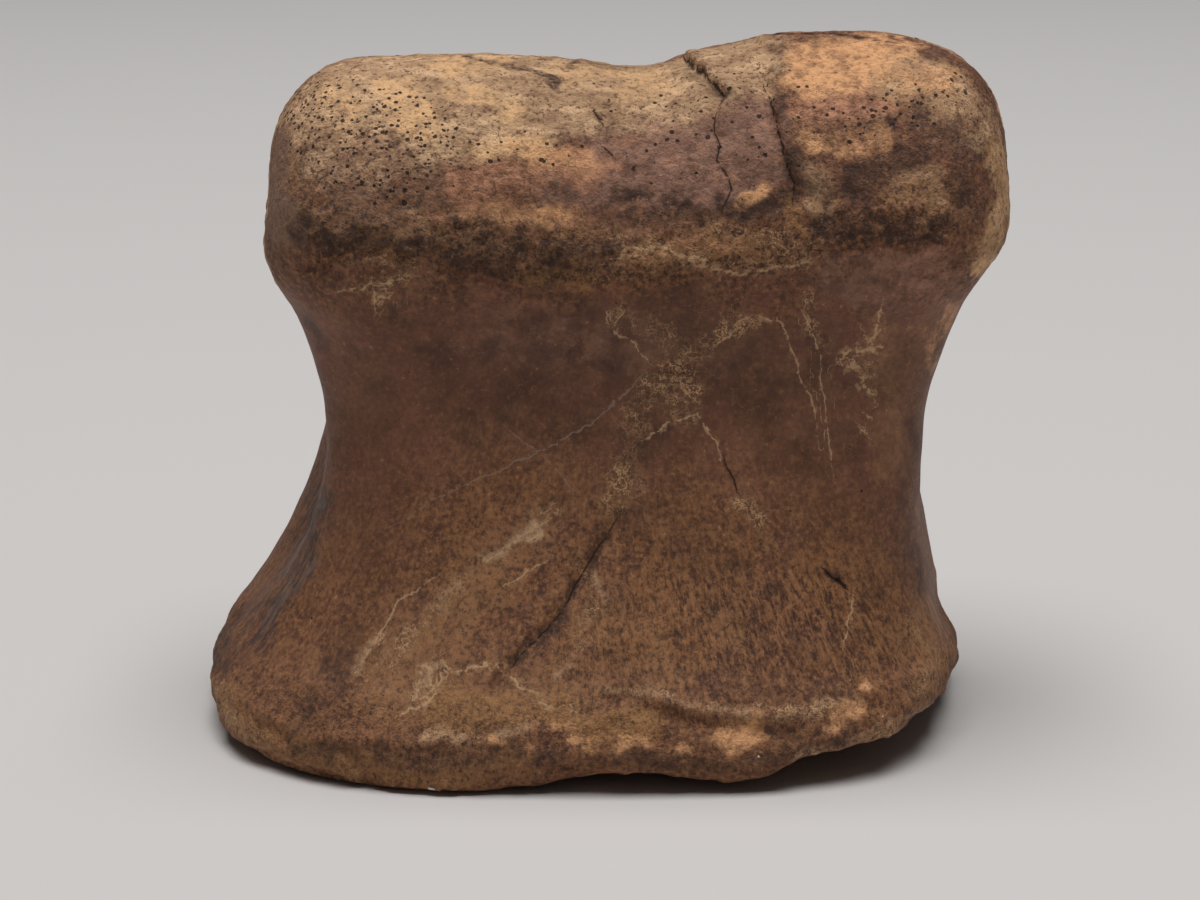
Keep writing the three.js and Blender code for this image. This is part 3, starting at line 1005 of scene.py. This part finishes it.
# Brown-grey dusk: partly stain, partly painted shade at the roller's ends and lower edge.
colour = over(colour, SHADE_AND_STAIN_BROWN, patchy_paint("dusk_stain_and_shade", mottle, 0.62, 0.42, 0.35, 0.95))
dark_grain = maths("MULTIPLY_ADD", blotch, 0.5, maths("MULTIPLY", mottle, 0.5))
# Dark: mostly manganese stains, and also the painted shade laid with some of the dark strokes.
colour = over(colour, DARK_STAIN_AND_SHADE, patchy_paint("dark", dark_grain, 0.60, 0.42, 0.30, 0.95))
# Blue-black: mineral streaks, and painted shade in the flank's hollow.
colour = over(colour, BLUE_BLACK, patchy_paint("blue", fibre, 0.56, 0.38, 0.12, 0.85))
colour = over(colour, BLUE_GREY, patchy_paint("blue", broad_fibre, 0.50, 0.62, 0.0, 0.45))
colour = over(colour, CRUST_BROWN, maths("MULTIPLY", crust, 0.50))
colour = over(colour, CRUST_TAN, maths("MULTIPLY", crust, threads))

# Grain, pores and lines
dark_speck = maths("MULTIPLY", ramp(grit, 0.47, 0.34), maths("MULTIPLY_ADD", rough, 0.70, 0.05))
colour = over(colour, DARK_STAIN_AND_SHADE, dark_speck)
colour = over(colour, CRUST_TAN, ramp(grit, 0.66, 0.76, 0.0, 0.6))
pits = layer_value("pits")
colour = over(colour, LIGHT_FIBRE, maths("MULTIPLY", pits, ramp(fibre, 0.52, 0.62, 0.0, 0.7)))
pit = maths("MULTIPLY", pits, ramp(fibre, 0.48, 0.38))
colour = over(colour, DARK_STAIN_AND_SHADE, maths("MULTIPLY", pit, 0.8))
colour = over(colour, PALE_VEIN, maths("MULTIPLY", vein_crumbs, 0.45))
colour = over(colour, PALE_VEIN, maths("MULTIPLY", vein, 0.68))
colour = over(colour, HAIRLINE_GREY, maths("MULTIPLY", hairline, 0.65))
colour = over(colour, DARK_STAIN_AND_SHADE, maths("MULTIPLY", crack_side, 0.45))
colour = over(colour, PORE_BLACK, maths("MULTIPLY", crack, 0.8))
colour = over(colour, PORE_BLACK, maths("MULTIPLY", pore, 0.92))
colour = over(colour, CHALK_WHITE, ramp(layer_value("pale"), 0.3, 0.6))
tree.links.new(colour, shader.inputs["Base Color"])

# Relief: pores and cracks sink, and the grain is coarser on worn ends. A rough skin is also duller.
FIBRE_HEIGHT = 0.20 * MM
MORE_ON_FLARE = 0.50 * MM
BLOTCH_HEIGHT = 0.20 * MM
GRIT_HEIGHT = 0.10 * MM
ROUGH_BLOTCH_HEIGHT = 1.60 * MM
ROUGH_GRIT_HEIGHT = 0.95 * MM
PORE_DEPTH = 0.50 * MM
CRACK_DEPTH = 0.30 * MM
SATIN = 0.55
DULLER_WHERE_ROUGH = 0.22
SPECULAR = 0.22
BUMP_STRENGTH = 0.8

relief = maths("MULTIPLY", fibre, maths("MULTIPLY_ADD", warm, MORE_ON_FLARE, FIBRE_HEIGHT))
blotch_height = maths("MULTIPLY_ADD", rough, ROUGH_BLOTCH_HEIGHT, BLOTCH_HEIGHT)
relief = maths("MULTIPLY_ADD", blotch, blotch_height, relief)
grit_height = maths("MULTIPLY_ADD", rough, ROUGH_GRIT_HEIGHT, GRIT_HEIGHT)
relief = maths("MULTIPLY_ADD", grit, grit_height, relief)
relief = maths("MULTIPLY_ADD", pore, -PORE_DEPTH, relief)
relief = maths("MULTIPLY_ADD", crack, -CRACK_DEPTH, relief)
bump = put("ShaderNodeBump", {"Strength": BUMP_STRENGTH, "Distance": 1.0, "Height": relief})
tree.links.new(bump.outputs["Normal"], shader.inputs["Normal"])
tree.links.new(maths("MULTIPLY_ADD", rough, DULLER_WHERE_ROUGH, SATIN), shader.inputs["Roughness"])
shader.inputs["Specular IOR Level"].default_value = SPECULAR

bone.data.materials.append(fossil)
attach(bone, "root")
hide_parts("toe_bone")

# Floor and light
# A wide sheet of matt pale grey paper that the bone stands on by its own weight, with one large soft light
# overhead and weak light from all round.
FLOOR_SIZE = 8.0
PAPER_GREY = (0.70, 0.675, 0.66, 1)
PAPER_ROUGHNESS = 0.85
PAPER_SPECULAR = 0.2
TOP_LIGHT_PLACE = (0.0, -0.05, 1.9)
TOP_LIGHT_SIZE = 1.5
TOP_LIGHT_POWER = 35
FILL_STRENGTH = 0.06
FILL_COLOUR = (0.93, 0.96, 1.0, 1)

bpy.ops.object.select_all(action="DESELECT")
bpy.ops.mesh.primitive_plane_add(size=FLOOR_SIZE, location=(0, 0, 0))
floor = bpy.context.object
floor.name = "paper_floor"
paper = bpy.data.materials.new("grey_paper")
paper.use_nodes = True
paper_shader = paper.node_tree.nodes["Principled BSDF"]
paper_shader.inputs["Base Color"].default_value = PAPER_GREY
paper_shader.inputs["Roughness"].default_value = PAPER_ROUGHNESS
paper_shader.inputs["Specular IOR Level"].default_value = PAPER_SPECULAR
floor.data.materials.append(paper)

bpy.ops.object.light_add(type="AREA", location=TOP_LIGHT_PLACE)
top_light = bpy.context.object
top_light.data.shape = "SQUARE"
top_light.data.size = TOP_LIGHT_SIZE
top_light.data.energy = TOP_LIGHT_POWER

world = bpy.context.scene.world or bpy.data.worlds.new("studio")
bpy.context.scene.world = world
world.use_nodes = True
backdrop = world.node_tree.nodes["Background"]
backdrop.inputs["Color"].default_value = FILL_COLOUR
backdrop.inputs["Strength"].default_value = FILL_STRENGTH
bpy.context.scene.view_settings.view_transform = "Standard"
